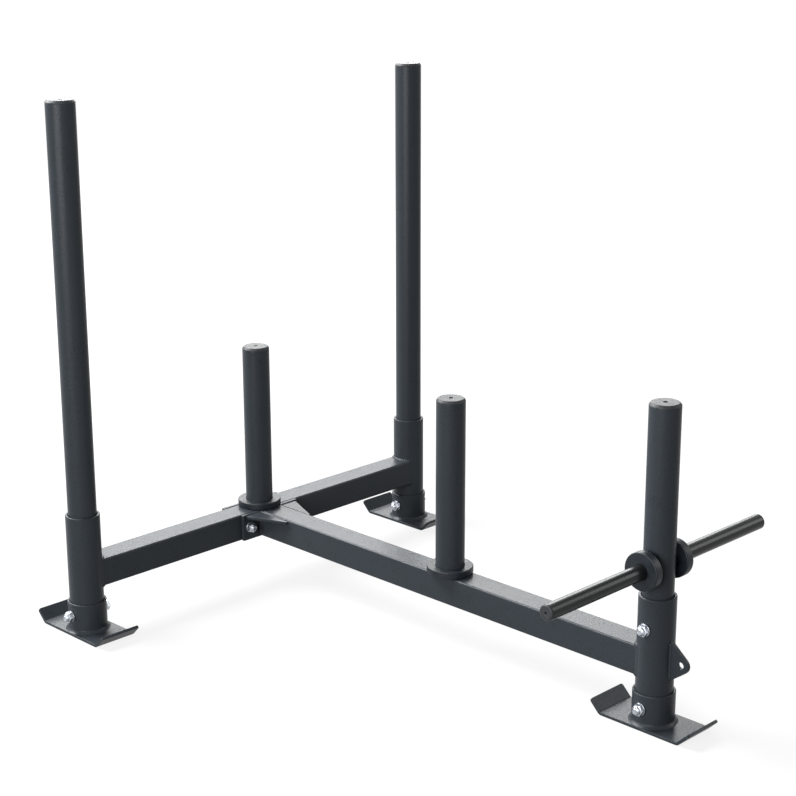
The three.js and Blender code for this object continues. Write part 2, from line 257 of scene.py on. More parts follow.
# The fillet's section: sunk into the socket's side and the skid's face, with a thin toe, a rounded
# belly and a head that fades into the side
fillet_sunk = 0.001
fillet_buried = 0.0005
fillet_toe_rise = 0.0001
fillet_belly_out = 0.0020
fillet_belly_up = 0.0016
fillet_belly_round = 0.0032
fillet_head_out = 0.0002
turned_steps = 96


def turned(outline):
    # A ring turned round Z from corners given as (radius, height, how far each is rounded)
    mesh = bmesh.new()
    corners = [(mesh.verts.new((radius, 0, height)), edge) for radius, height, edge in outline]
    mesh.faces.new([corner for corner, edge in corners])
    for corner, edge in corners:
        if edge:
            bend_corners(mesh, [corner], edge, edge_steps)
    bmesh.ops.delete(mesh, geom=mesh.faces[:], context="FACES_ONLY")
    bmesh.ops.spin(
        mesh, geom=mesh.verts[:] + mesh.edges[:], cent=(0, 0, 0), axis=(0, 0, 1), angle=tau,
        steps=turned_steps, use_merge=True,
    )
    return mesh


def tube(radius, wall, bottom, top, edge=sawn_edge):
    inner_edge = edge / 2
    return turned([
        (radius - wall, bottom, inner_edge),
        (radius, bottom, edge),
        (radius, top, edge),
        (radius - wall, top, inner_edge),
    ])


for side in ("left", "right", "front"):
    node = f"{side}_skid_socket"
    mesh = tube(socket_radius, socket_wall, socket_bottom, socket_top, rim_edge)
    bmesh.ops.transform(mesh, matrix=upright(node), verts=mesh.verts)
    add_piece(f"{side}_socket", mesh, powder_coat, [node])

    toe = socket_radius + socket_fillet
    head = socket_bottom + socket_fillet
    belly = (socket_radius + fillet_belly_out, socket_bottom + fillet_belly_up)
    mesh = turned([
        (socket_radius - fillet_sunk, socket_bottom - fillet_buried, 0),
        (toe, socket_bottom - fillet_buried, 0),
        (toe, socket_bottom + fillet_toe_rise, 0),
        (*belly, fillet_belly_round),
        (socket_radius + fillet_head_out, head, 0),
        (socket_radius - fillet_sunk, head, 0),
    ])
    bmesh.ops.transform(mesh, matrix=upright(node), verts=mesh.verts)
    add_piece(f"{side}_socket_weld", mesh, powder_coat)


# Upright sleeves
# 60 mm tube with a 4 mm wall, one at each corner of the frame. The push poles and the front horn
# drop into them from above, and the beams are welded to their sides.
sleeve_radius = 0.030
sleeve_wall = 0.004
sleeve_bottom = 0.005
sleeve_top = 0.215

for side in ("left", "right", "front"):
    mesh = tube(sleeve_radius, sleeve_wall, sleeve_bottom, sleeve_top, rim_edge)
    bmesh.ops.transform(mesh, matrix=upright(f"{side}_sleeve"), verts=mesh.verts)
    add_piece(f"{side}_sleeve_tube", mesh, powder_coat, [f"{side}_sleeve"])


# Beams
# 50 mm square tube with a 3 mm wall and rounded corners. The cross-beam joins the two rear
# sleeves and the main beam runs forward to the front one, each end coped and welded all round.
beam_half = 0.025
beam_wall = 0.003
beam_corner = 0.0038
beam_corner_steps = 6
beam_side_steps = 12
beam_height = 0.1065
cope_depth = 0.0005
weld_leg = 0.0048
bead_width = 0.60
bead_height = 0.32
bead_lift = 0.27
bead_ripple = 0.0042
bead_unevenness = 0.07
bead_steps_a_ripple = 4
bead_sides = 10

rear_y = centre("cross_beam").y
front_y = centre("front_sleeve").y
post_x = centre("right_sleeve").x
main_beam_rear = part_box("main_beam")[1].y


def square_tube(start, end):
    # Drawn as a square at Z = start, then pulled along Z to the other end
    mesh = bmesh.new()
    bmesh.ops.create_grid(mesh, x_segments=1, y_segments=1, size=beam_half)
    bend_corners(mesh, mesh.verts[:], beam_corner, beam_corner_steps)
    rim = bmesh.ops.inset_region(
        mesh, faces=mesh.faces[:], thickness=beam_wall, use_even_offset=True, use_boundary=True
    )["faces"]
    bore = [face for face in mesh.faces if face not in rim]
    bmesh.ops.delete(mesh, geom=bore, context="FACES_ONLY")
    bmesh.ops.translate(mesh, vec=(0, 0, start), verts=mesh.verts)
    pull(mesh, (0, 0, end - start))
    return mesh


def cope(mesh, sleeve_axis, across, outward):
    # The end of the beam lies on the axis of a round sleeve and looks outward along Z. Each of its
    # corners slides back until it bites into the sleeve's side by the depth of the cope.
    for vertex in mesh.verts:
        if abs(vertex.co.z - sleeve_axis) < same_place:
            reach = sqrt(sleeve_radius ** 2 - vertex.co[across] ** 2) - cope_depth
            vertex.co.z = sleeve_axis - outward * reach


def loop_edges(ring):
    # Each edge once, in the ring's own order, so that every run gives the same faces
    return list(dict.fromkeys(edge for vertex in ring for edge in vertex.link_edges))


def stack(mesh, loops, closed=False):
    # Bridges each loop to the next, then the last to the first or a face over either end
    for first, second in zip(loops, loops[1:] + loops[:1] if closed else loops[1:]):
        bmesh.ops.bridge_loops(mesh, edges=first + second)
    if not closed:
        for end in (loops[0], loops[-1]):
            bmesh.ops.edgeloop_fill(mesh, edges=end)


def bead(seam, leg=weld_leg, unevenness=bead_unevenness, closed=True):
    # A fillet weld: ovals that lie across the corner of two faces, strung along the seam and
    # bridged, each a little fatter or thinner, and half as fat at an open end. A step of the seam
    # is a point and the ways that the two faces look there.
    mesh = bmesh.new()
    loops = []
    for step, (point, wall, side) in enumerate(seam):
        swell = leg * (1 + unevenness * sin(tau * step / bead_steps_a_ripple))
        if not closed and step in (0, len(seam) - 1):
            swell = leg / 2
        up_wall = (side - wall * side.dot(wall)).normalized()
        along_side = (wall - side * side.dot(wall)).normalized()
        wide = (up_wall - along_side) * bead_width * swell
        high = (up_wall + along_side) * bead_height * swell
        across = Matrix((wide, high, wide.cross(high).normalized())).transposed().to_4x4()
        middle = Matrix.Translation(point + high * bead_lift)
        ring = bmesh.ops.create_circle(
            mesh, segments=bead_sides, radius=1.0, matrix=middle @ across
        )["verts"]
        loops.append(loop_edges(ring))
    stack(mesh, loops, closed)
    return mesh


def evenly(seam, closed=True):
    # The same seam in equal steps, a whole number of them to each ripple of the bead
    ends = seam + seam[:1] if closed else seam
    lengths = [(b[0] - a[0]).length for a, b in zip(ends, ends[1:])]
    ripples = max(1, round(sum(lengths) / bead_ripple))
    count = ripples * bead_steps_a_ripple
    stride = sum(lengths) / count
    steps = []
    travelled = 0.0
    for (start, end), length in zip(zip(ends, ends[1:]), lengths):
        while len(steps) < count and len(steps) * stride <= travelled + length:
            share = (len(steps) * stride - travelled) / length
            steps.append([a.lerp(b, share) for a, b in zip(start, end)])
        travelled += length
    if not closed:
        steps.append(ends[-1])
    return steps


def beam_outline():
    # The outside of the square tube, as (across, up) round its middle, each with the way it looks
    points = []
    for quarter in range(4):
        across = (beam_half - beam_corner) * (1 if quarter in (0, 3) else -1)
        up = (beam_half - beam_corner) * (1 if quarter < 2 else -1)
        for step in range(beam_corner_steps + 1):
            angle = (quarter + step / beam_corner_steps) * pi / 2
            look = Vector((cos(angle), sin(angle)))
            points.append((Vector((across, up)) + beam_corner * look, look))
    finer = []
    for (start, look), (end, next_look) in zip(points, points[1:] + points[:1]):
        steps = beam_side_steps if (end - start).length > beam_corner else 1
        for step in range(steps):
            finer.append((start.lerp(end, step / steps), look.lerp(next_look, step / steps)))
    return finer


# Local Z runs along the cross-beam to +X, and local X points up
lay_across = Matrix(((0, 0, 1, 0), (0, -1, 0, 0), (1, 0, 0, 0), (0, 0, 0, 1)))
cross_beam = square_tube(-post_x, post_x)
cope(cross_beam, -post_x, 1, -1)
cope(cross_beam, post_x, 1, 1)
cross_place = Matrix.Translation((0, rear_y, beam_height)) @ lay_across
bmesh.ops.transform(cross_beam, matrix=cross_place, verts=cross_beam.verts)
add_piece("cross_beam_tube", cross_beam, powder_coat, ["cross_beam"])

# Local Z runs along the main beam to +Y, and local X stays across the sled
lay_along = Matrix.Rotation(-pi / 2, 4, "X")
main_beam = square_tube(front_y, main_beam_rear)
cope(main_beam, front_y, 0, -1)
main_place = Matrix.Translation((0, 0, beam_height)) @ lay_along
bmesh.ops.transform(main_beam, matrix=main_place, verts=main_beam.verts)
add_piece("main_beam_tube", main_beam, powder_coat, ["main_beam"])

# Seams where a beam meets a round sleeve: the sleeve's foot, the way that the beam leaves it, and
# the way across the beam
for name, sleeve, beam_way, across_way in (
    ("left_beam_weld", Vector((-post_x, rear_y, 0)), Vector((1, 0, 0)), Vector((0, 1, 0))),
    ("right_beam_weld", Vector((post_x, rear_y, 0)), Vector((-1, 0, 0)), Vector((0, 1, 0))),
    ("front_beam_weld", Vector((0, front_y, 0)), Vector((0, 1, 0)), Vector((1, 0, 0))),
):
    seam = []
    for (across, up), (look_across, look_up) in beam_outline():
        out = beam_way * sqrt(sleeve_radius ** 2 - across ** 2) + across_way * across
        point = sleeve + out + Vector((0, 0, beam_height + up))
        side = across_way * look_across + Vector((0, 0, look_up))
        seam.append((point, out.normalized(), side))
    add_piece(name, bead(evenly(seam)), powder_coat)


# Clamp plates
# Two rectangles of 6 mm flat bar, 134 by 50 mm, one welded across the rear end of the main beam
# and one loose behind the cross-beam. Two bolts draw them together and grip the cross-beam.
clamp_corner = 0.002
plate_corner_steps = 4
plate_edge = 0.0007
plate_leg = 0.0026
plate_bead_unevenness = 0.03


def plate(outline, thickness, corner=0.0):
    # A flat plate whose outline is drawn in the X-Y plane, thick upwards from Z = 0
    mesh = bmesh.new()
    corners = [mesh.verts.new((x, y, 0)) for x, y in outline]
    mesh.faces.new(corners)
    if corner:
        bend_corners(mesh, corners, corner, plate_corner_steps)
    pull(mesh, (0, 0, thickness))
    soften(mesh, plate_edge)
    return mesh


for end in ("front", "rear"):
    low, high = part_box(f"{end}_clamp_plate")
    mesh = plate(
        [(low.x, low.z), (high.x, low.z), (high.x, high.z), (low.x, high.z)],
        high.y - low.y, clamp_corner,
    )
    stand_up = Matrix.Translation((0, high.y, 0)) @ Matrix.Rotation(pi / 2, 4, "X")
    bmesh.ops.transform(mesh, matrix=stand_up, verts=mesh.verts)
    add_piece(f"{end}_clamp", mesh, powder_coat, [f"{end}_clamp_plate"])

# The main beam's weld shows below the gussets, down each side of the beam
facing_front = Vector((0, -1, 0))
plate_face_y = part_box("front_clamp_plate")[0].y
gusset_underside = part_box("left_gusset")[0].z
for side, hand in (("left", -1), ("right", 1)):
    beam_side = Vector((hand, 0, 0))
    seam = [
        (Vector((hand * beam_half, plate_face_y, beam_height + up)), facing_front, beam_side)
        for up in (beam_corner - beam_half, 0.0, gusset_underside - beam_height)
    ]
    mesh = bead(evenly(seam, closed=False), plate_leg, plate_bead_unevenness, closed=False)
    add_piece(f"{side}_clamp_plate_weld", mesh, powder_coat)


# Gussets
# Triangles of 5 mm plate in the two corners between the main beam and the front clamp plate, set
# 2 mm below the beam's top face and welded along both sides.
gusset_snip = 0.005
gusset_leg = 0.0022

for side, hand in (("left", -1), ("right", 1)):
    low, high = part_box(f"{side}_gusset")
    inner = hand * min(abs(low.x), abs(high.x))
    outer = hand * max(abs(low.x), abs(high.x))
    mesh = plate(
        [
            (inner, high.y),
            (outer, high.y),
            (outer, high.y - gusset_snip),
            (inner + hand * gusset_snip, low.y),
            (inner, low.y),
        ],
        high.z - low.z,
    )
    bmesh.ops.translate(mesh, vec=(0, 0, low.z), verts=mesh.verts)
    add_piece(f"{side}_gusset_plate", mesh, powder_coat, [f"{side}_gusset"])
    beam_side = Vector((hand, 0, 0))
    for face, height, look in (("top", high.z, 1), ("bottom", low.z, -1)):
        plate_side = Vector((0, 0, look))
        seam = [
            (Vector((inner, low.y + gusset_snip, height)), beam_side, plate_side),
            (Vector((inner, high.y - gusset_leg, height)), beam_side, plate_side),
            (Vector((inner + hand * gusset_leg, high.y, height)), facing_front, plate_side),
            (Vector((outer - hand * gusset_snip, high.y, height)), facing_front, plate_side),
        ]
        mesh = bead(evenly(seam, closed=False), gusset_leg, plate_bead_unevenness, closed=False)
        add_piece(f"{side}_gusset_{face}_weld", mesh, powder_coat)


# Towing lug
# A rounded triangle of 6 mm plate with an 11 mm hole for a strap's hook, stood on the centre line
# of the front sleeve and welded down both sides.
lug_hole_radius = 0.0055
lug_hole_height = 0.112
lug_tip_radius = 0.014
lug_tip_steps = 16
lug_side_cuts = 7
lug_side_least = 0.01
lug_root_sunk = 0.0005
lug_leg = 0.0032

low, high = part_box("tow_lug")
hole = Vector((0, low.y + lug_tip_radius, lug_hole_height))
root_y = high.y + lug_root_sunk


def edge_angle(root_height):
    # The direction of the straight edge that runs from the root to the round tip
    reach = sqrt((root_y - hole.y) ** 2 + (root_height - hole.z) ** 2)
    lean = acos((root_y - hole.y) / reach)
    return lean - acos(sqrt(reach ** 2 - lug_tip_radius ** 2) / reach)


upper_slope = tan(edge_angle(high.z))
lower_slope = tan(edge_angle(low.z))
span = (high.z - low.z) / (upper_slope + lower_slope)
apex_y = root_y - span
apex_z = high.z - upper_slope * span
mesh = bmesh.new()
triangle = ((root_y, low.z), (root_y, high.z), (apex_y, apex_z))
corners = [mesh.verts.new((0, y, z)) for y, z in triangle]
mesh.faces.new(corners)
tip_angle = edge_angle(high.z) + edge_angle(low.z)
bend_corners(mesh, corners[2:], lug_tip_radius / tan(tip_angle / 2), lug_tip_steps)
bmesh.ops.delete(mesh, geom=mesh.faces[:], context="FACES_ONLY")
straights = [edge for edge in mesh.edges if edge.calc_length() > lug_side_least]
bmesh.ops.subdivide_edges(mesh, edges=straights, cuts=lug_side_cuts)
# The hole has as many corners as the outline, so that the two are bridged one to one
outline_count = len(mesh.verts)
bore = Matrix.Translation(hole) @ Matrix.Rotation(pi / 2, 4, "Y")
bmesh.ops.create_circle(mesh, segments=outline_count, radius=lug_hole_radius, matrix=bore)
bmesh.ops.bridge_loops(mesh, edges=mesh.edges[:])
pull(mesh, (high.x - low.x, 0, 0))
bmesh.ops.translate(mesh, vec=(low.x, 0, 0), verts=mesh.verts)
soften(mesh, plate_edge)
add_piece("towing_lug", mesh, powder_coat, ["tow_lug"])
for side, x, look in (("left", low.x, -1), ("right", high.x, 1)):
    seam = [
        (Vector((x, high.y, height)), facing_front, Vector((look, 0, 0)))
        for height in (low.z + lug_leg, high.z - lug_leg)
    ]
    mesh = bead(evenly(seam, closed=False), lug_leg, plate_bead_unevenness, closed=False)
    add_piece(f"lug_{side}_weld", mesh, powder_coat)


# Weight horns
# 50 mm tube with a 3 mm wall. The rear and middle horns are welded upright on the beams, under
# their rubber rings, and the front horn stands in its sleeve, held by a cross bolt.
post_radius = 0.025
post_wall = 0.003

for horn in ("rear_horn", "middle_horn", "front_horn"):
    low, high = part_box(horn)
    mesh = tube(post_radius, post_wall, low.z, high.z)
    bmesh.ops.transform(mesh, matrix=upright(horn), verts=mesh.verts)
    add_piece(f"{horn}_tube", mesh, powder_coat, [horn])


# Side bar
# One 25 mm tube with a 2.5 mm wall, through the front horn from side to side and welded on both,
# for plates with a small bore. It has a smoother, glossier black paint than the powder coat.
bar_radius = 0.0125
bar_wall = 0.0025
bar_leg = 0.0038
bar_seam_steps = 64

# Black stoving enamel, semi-gloss: one clean highlight along the tube, with a slight orange peel.
# The peel is about 3 mm from crest to crest, and the gloss drifts over some 20 mm.
bar_paint = new_finish("semi_gloss_black_enamel")
place = add_node(bar_paint, "ShaderNodeTexCoord").outputs["Object"]
cloud = add_node(
    bar_paint, "ShaderNodeTexNoise", {"Scale": 45.0, "Detail": 3.0}, {"Vector": place}
)
peel = add_node(
    bar_paint, "ShaderNodeTexNoise", {"Scale": 330.0, "Detail": 1.0}, {"Vector": place}
)
enamel_gloss = add_node(
    bar_paint, "ShaderNodeMapRange", {"To Min": 0.26, "To Max": 0.34},
    {"Value": cloud.outputs["Fac"]},
)
enamel_relief = add_node(
    bar_paint, "ShaderNodeBump", {"Strength": 0.05, "Distance": 0.0002},
    {"Height": peel.outputs["Fac"]},
)
enamel = add_node(
    bar_paint, "ShaderNodeBsdfPrincipled", {"IOR": 1.5, "Specular IOR Level": 0.16},
    {
        "Base Color": tint(bar_paint, cloud.outputs["Fac"], "#0f1112", "#141617"),
        "Roughness": enamel_gloss.outputs["Result"],
        "Normal": enamel_relief.outputs["Normal"],
    },
)
add_node(bar_paint, "ShaderNodeOutputMaterial", links={"Surface": enamel.outputs["BSDF"]})

bar_low, bar_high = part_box("side_bar")
bar_centre = centre("side_bar")
# Local Z runs along the bar to +X
lay_bar = Matrix.Translation((0, bar_centre.y, bar_centre.z)) @ Matrix.Rotation(pi / 2, 4, "Y")
mesh = tube(bar_radius, bar_wall, bar_low.x, bar_high.x)
bmesh.ops.transform(mesh, matrix=lay_bar, verts=mesh.verts)
add_piece("side_bar_tube", mesh, bar_paint, ["side_bar"])

for side, hand in (("left", -1), ("right", 1)):
    seam = []
    for step in range(bar_seam_steps):
        angle = tau * step / bar_seam_steps
        round_bar = Vector((0, cos(angle), sin(angle)))
        across = bar_radius * round_bar.y
        out = Vector((hand * sqrt(post_radius ** 2 - across ** 2), across, 0))
        point = Vector((0, bar_centre.y, bar_centre.z + bar_radius * round_bar.z)) + out
        seam.append((point, out.normalized(), round_bar))
    add_piece(f"{side}_bar_weld", bead(evenly(seam), bar_leg), powder_coat)


# Rubber rings
# Moulded rings pushed over the horns and the side bar. They keep the plates off the frame and
# stay put by their own grip, and their corners are rounded by the mould.
ring_edge = 0.0018
ring_bore_edge = 0.0008
ring_clearance = 0.0002

# Natural rubber, compression moulded: deep blue-black with a faint dusty bloom, matt face on and
# with a pale sheen at a low angle. The mould's 0.3 mm grain is drawn at 1.4 mm so that it shows.
rubber = new_finish("moulded_black_rubber")
place = add_node(rubber, "ShaderNodeTexCoord").outputs["Object"]
bloom = add_node(rubber, "ShaderNodeTexNoise", {"Scale": 70.0, "Detail": 4.0}, {"Vector": place})
skin = add_node(rubber, "ShaderNodeTexNoise", {"Scale": 700.0, "Detail": 2.0}, {"Vector": place})
rubber_gloss = add_node(
    rubber, "ShaderNodeMapRange", {"To Min": 0.38, "To Max": 0.54},
    {"Value": bloom.outputs["Fac"]},
)
rubber_relief = add_node(
    rubber, "ShaderNodeBump", {"Strength": 0.3, "Distance": 0.0002},
    {"Height": skin.outputs["Fac"]},
)
rubber_shader = add_node(
    rubber, "ShaderNodeBsdfPrincipled", {"IOR": 1.52, "Specular IOR Level": 0.18},
    {
        "Base Color": tint(rubber, bloom.outputs["Fac"], "#0b1015", "#12171c"),
        "Roughness": rubber_gloss.outputs["Result"],
        "Normal": rubber_relief.outputs["Normal"],
    },
)
add_node(rubber, "ShaderNodeOutputMaterial", links={"Surface": rubber_shader.outputs["BSDF"]})


def stop_ring(radius, bore_radius, start, end):
    return turned([
        (bore_radius, start, ring_bore_edge),
        (radius, start, ring_edge),
        (radius, end, ring_edge),
        (bore_radius, end, ring_bore_edge),
    ])


for horn in ("rear_horn", "middle_horn"):
    low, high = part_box(f"{horn}_ring")
    mesh = stop_ring((high.x - low.x) / 2, post_radius + ring_clearance, low.z, high.z)
    bmesh.ops.transform(mesh, matrix=upright(f"{horn}_ring"), verts=mesh.verts)
    add_piece(f"{horn}_rubber_ring", mesh, rubber, [f"{horn}_ring"])

for side in ("left", "right"):
    low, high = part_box(f"{side}_bar_ring")
    mesh = stop_ring((high.z - low.z) / 2, bar_radius + ring_clearance, low.x, high.x)
    bmesh.ops.transform(mesh, matrix=lay_bar, verts=mesh.verts)
    add_piece(f"{side}_bar_rubber_ring", mesh, rubber, [f"{side}_bar_ring"])


# End caps
# Moulded plugs pushed into the tube ends, with a chamfered top that sits on the rim and a small
# vent hole left by the moulding pin.
cap_lip = 0.0012
cap_chamfer = 0.003
cap_hole_radius = 0.0035
cap_plug_depth = 0.014
bar_cap_chamfer = 0.0015
bar_cap_hole_radius = 0.002
bar_cap_plug_depth = 0.010
plug_clearance = 0.0004
moulded_edge = 0.0006
chamfer_edge = 1.5 * moulded_edge
seat_edge = 0.0003

# Black polyethylene, injection moulded with a fine matt mould texture: a soft sheen on the flats.
# The texture is about 0.2 mm, drawn at 1.1 mm so that it shows.
cap_plastic = new_finish("moulded_black_polyethylene")
place = add_node(cap_plastic, "ShaderNodeTexCoord").outputs["Object"]
flow = add_node(
    cap_plastic, "ShaderNodeTexNoise", {"Scale": 90.0, "Detail": 3.0}, {"Vector": place}
)
spark = add_node(
    cap_plastic, "ShaderNodeTexNoise", {"Scale": 900.0, "Detail": 2.0}, {"Vector": place}
)
plastic_gloss = add_node(
    cap_plastic, "ShaderNodeMapRange", {"To Min": 0.42, "To Max": 0.56},
    {"Value": flow.outputs["Fac"]},
)
plastic_relief = add_node(
    cap_plastic, "ShaderNodeBump", {"Strength": 0.25, "Distance": 0.00015},
    {"Height": spark.outputs["Fac"]},
)
plastic = add_node(
    cap_plastic, "ShaderNodeBsdfPrincipled", {"IOR": 1.51, "Specular IOR Level": 0.13},
    {
        "Base Color": tint(cap_plastic, flow.outputs["Fac"], "#1f2022", "#282a2c"),
        "Roughness": plastic_gloss.outputs["Result"],
        "Normal": plastic_relief.outputs["Normal"],
    },
)
add_node(cap_plastic, "ShaderNodeOutputMaterial", links={"Surface": plastic.outputs["BSDF"]})


def end_cap(radius, wall, chamfer, hole_radius, plug_depth, rise):
    # Its seat, where the lip meets the rim of the tube, is at Z = 0
    plug_radius = radius - wall - plug_clearance
    return turned([
        (hole_radius, -plug_depth, 0),
        (plug_radius, -plug_depth, moulded_edge),
        (plug_radius, 0, 0),
        (radius, 0, seat_edge),
        (radius, cap_lip, moulded_edge),
        (radius - chamfer, rise, chamfer_edge),
        (hole_radius, rise, moulded_edge),
    ])


for post, body in (
    ("rear_horn", "frame"),
    ("middle_horn", "frame"),
    ("front_horn", "frame"),
    ("left_push_pole", "left_push_pole"),
    ("right_push_pole", "right_push_pole"),
):
    low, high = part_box(f"{post}_cap")
    rise = high.z - low.z - cap_plug_depth
    mesh = end_cap(post_radius, post_wall, cap_chamfer, cap_hole_radius, cap_plug_depth, rise)
    bmesh.ops.translate(mesh, vec=(0, 0, high.z - rise), verts=mesh.verts)
    bmesh.ops.transform(mesh, matrix=upright(f"{post}_cap"), verts=mesh.verts)
    add_piece(f"{post}_end_cap", mesh, cap_plastic, [f"{post}_cap"], body)

for side, hand in (("left", -1), ("right", 1)):
    low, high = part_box(f"{side}_bar_cap")
    rise = high.x - low.x - bar_cap_plug_depth
    seat = (high.x if hand > 0 else -low.x) - rise
    mesh = end_cap(
        bar_radius, bar_wall, bar_cap_chamfer, bar_cap_hole_radius, bar_cap_plug_depth, rise
    )
    point_out = Matrix.Rotation(0 if hand > 0 else pi, 4, "X") @ Matrix.Translation((0, 0, seat))
    bmesh.ops.transform(mesh, matrix=lay_bar @ point_out, verts=mesh.verts)
    add_piece(f"{side}_bar_end_cap", mesh, cap_plastic, [f"{side}_bar_cap"])


# Push poles
# Two long 50 mm tubes that the athlete pushes on. Each stands loose in its rear sleeve, resting
# on the skid bolt, and lifts straight out.
for side in ("left", "right"):
    node = f"{side}_push_pole"
    low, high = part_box(node)
    mesh = tube(post_radius, post_wall, low.z, high.z)
    bmesh.ops.transform(mesh, matrix=upright(node), verts=mesh.verts)
    add_piece(f"{side}_pole_tube", mesh, powder_coat, [node], node)


# Bolts, nuts and washers
# Six M10 hexagon bolts, each with a lock nut and two flat washers, cold forged and rolled from
# steel. Three hold the skids, one the front horn, and two draw the clamp plates together. All
# heads look to the right or to the rear.
bolt_radius = 0.00495
thread_root = 0.0042
thread_pitch = 0.0015
thread_turns = 9
thread_shown = 0.0015
hex_half_flat = 0.0085
hex_chamfer_radius = 0.0081
hex_chamfer = tan(radians(30))
head_height = 0.0064
head_dish = 0.0004
dish_floor_radius = 0.0050
dish_rim_radius = 0.0058
nut_height = 0.010
nut_hex_height = 0.0065
nut_crown_radius = 0.007
nut_bore = 0.0052
nut_mouth_flare = 0.0005
nut_mouth_depth = 0.0006
washer_radius = 0.010
washer_bore = 0.0053
washer_thickness = 0.002
washer_outer_edge = 0.0004
washer_bore_edge = 0.0002
seat_gap = 0.0003
loop_count = 48
face_hollow = 0.00003
# Where the thread's root and crest start and end, in pitches below the last crest
root_start, root_end, crest_start, crest_end = 0.4, 0.6, 0.95, 1.05
# The bolt's end, as (share of the bolt's radius, in from the end)
end_profile = ((0.94, 0.0004), (0.86, 0), (0.78, face_hollow), (0.20, 0.0005))
# The nut's crown: its foot, as (beyond its radius, out from the shoulder), then its round end and
# the mouth of its nylon ring, as (beyond the crown's or the bore's radius, in from the end)
crown_foot = ((0.0003, 0.0002), (0, 0.0008))
crown_end = ((0, 0.0012), (-0.0004, 0.0004), (-0.0011, 0), (-0.0014, 0.0003))
ring_mouth = ((0.0003, 0.0014), (0, 0.0018))

# Steel with bright zinc plate and a clear blue passivation: a clean cool silver, uneven over 6 mm.
# The plate's crystals are finer than 0.1 mm, drawn as pits of 0.8 mm so that they show.
zinc = new_finish("bright_zinc_plate")
place = add_node(zinc, "ShaderNodeTexCoord").outputs["Object"]
drift = add_node(zinc, "ShaderNodeTexNoise", {"Scale": 160.0, "Detail": 3.0}, {"Vector": place})
pits = add_node(zinc, "ShaderNodeTexNoise", {"Scale": 1200.0, "Detail": 2.0}, {"Vector": place})
zinc_gloss = add_node(
    zinc, "ShaderNodeMapRange", {"To Min": 0.3, "To Max": 0.44}, {"Value": pits.outputs["Fac"]}
)
zinc_relief = add_node(
    zinc, "ShaderNodeBump", {"Strength": 0.2, "Distance": 0.0001}, {"Height": pits.outputs["Fac"]}
)
plating = add_node(
    zinc, "ShaderNodeBsdfPrincipled", {"Metallic": 1.0},
    {
        "Base Color": tint(zinc, drift.outputs["Fac"], "#8d9299", "#b3b7bd"),
        "Roughness": zinc_gloss.outputs["Result"],
        "Normal": zinc_relief.outputs["Normal"],
    },
)
add_node(zinc, "ShaderNodeOutputMaterial", links={"Surface": plating.outputs["BSDF"]})


def round_loop(mesh, radius, height):
    ring = bmesh.ops.create_circle(
        mesh, segments=loop_count, radius=radius, matrix=Matrix.Translation((0, 0, height))
    )["verts"]
    return loop_edges(ring)


def hex_loop(mesh, height, cut_side):
    # The six flats, with the turned chamfer that takes the corners down on one side
    corner_radius = hex_half_flat / cos(pi / 6)
    others = set(mesh.edges)
    ring = bmesh.ops.create_circle(mesh, segments=6, radius=corner_radius)["verts"]
    bmesh.ops.subdivide_edges(mesh, edges=loop_edges(ring), cuts=loop_count // 6 - 1)
    outline = [edge for edge in mesh.edges if edge not in others]
    for vertex in {vertex for edge in outline for vertex in edge.verts}:
        beyond = max(0.0, vertex.co.xy.length - hex_chamfer_radius)
        vertex.co.z = height - cut_side * beyond * hex_chamfer
    return outline


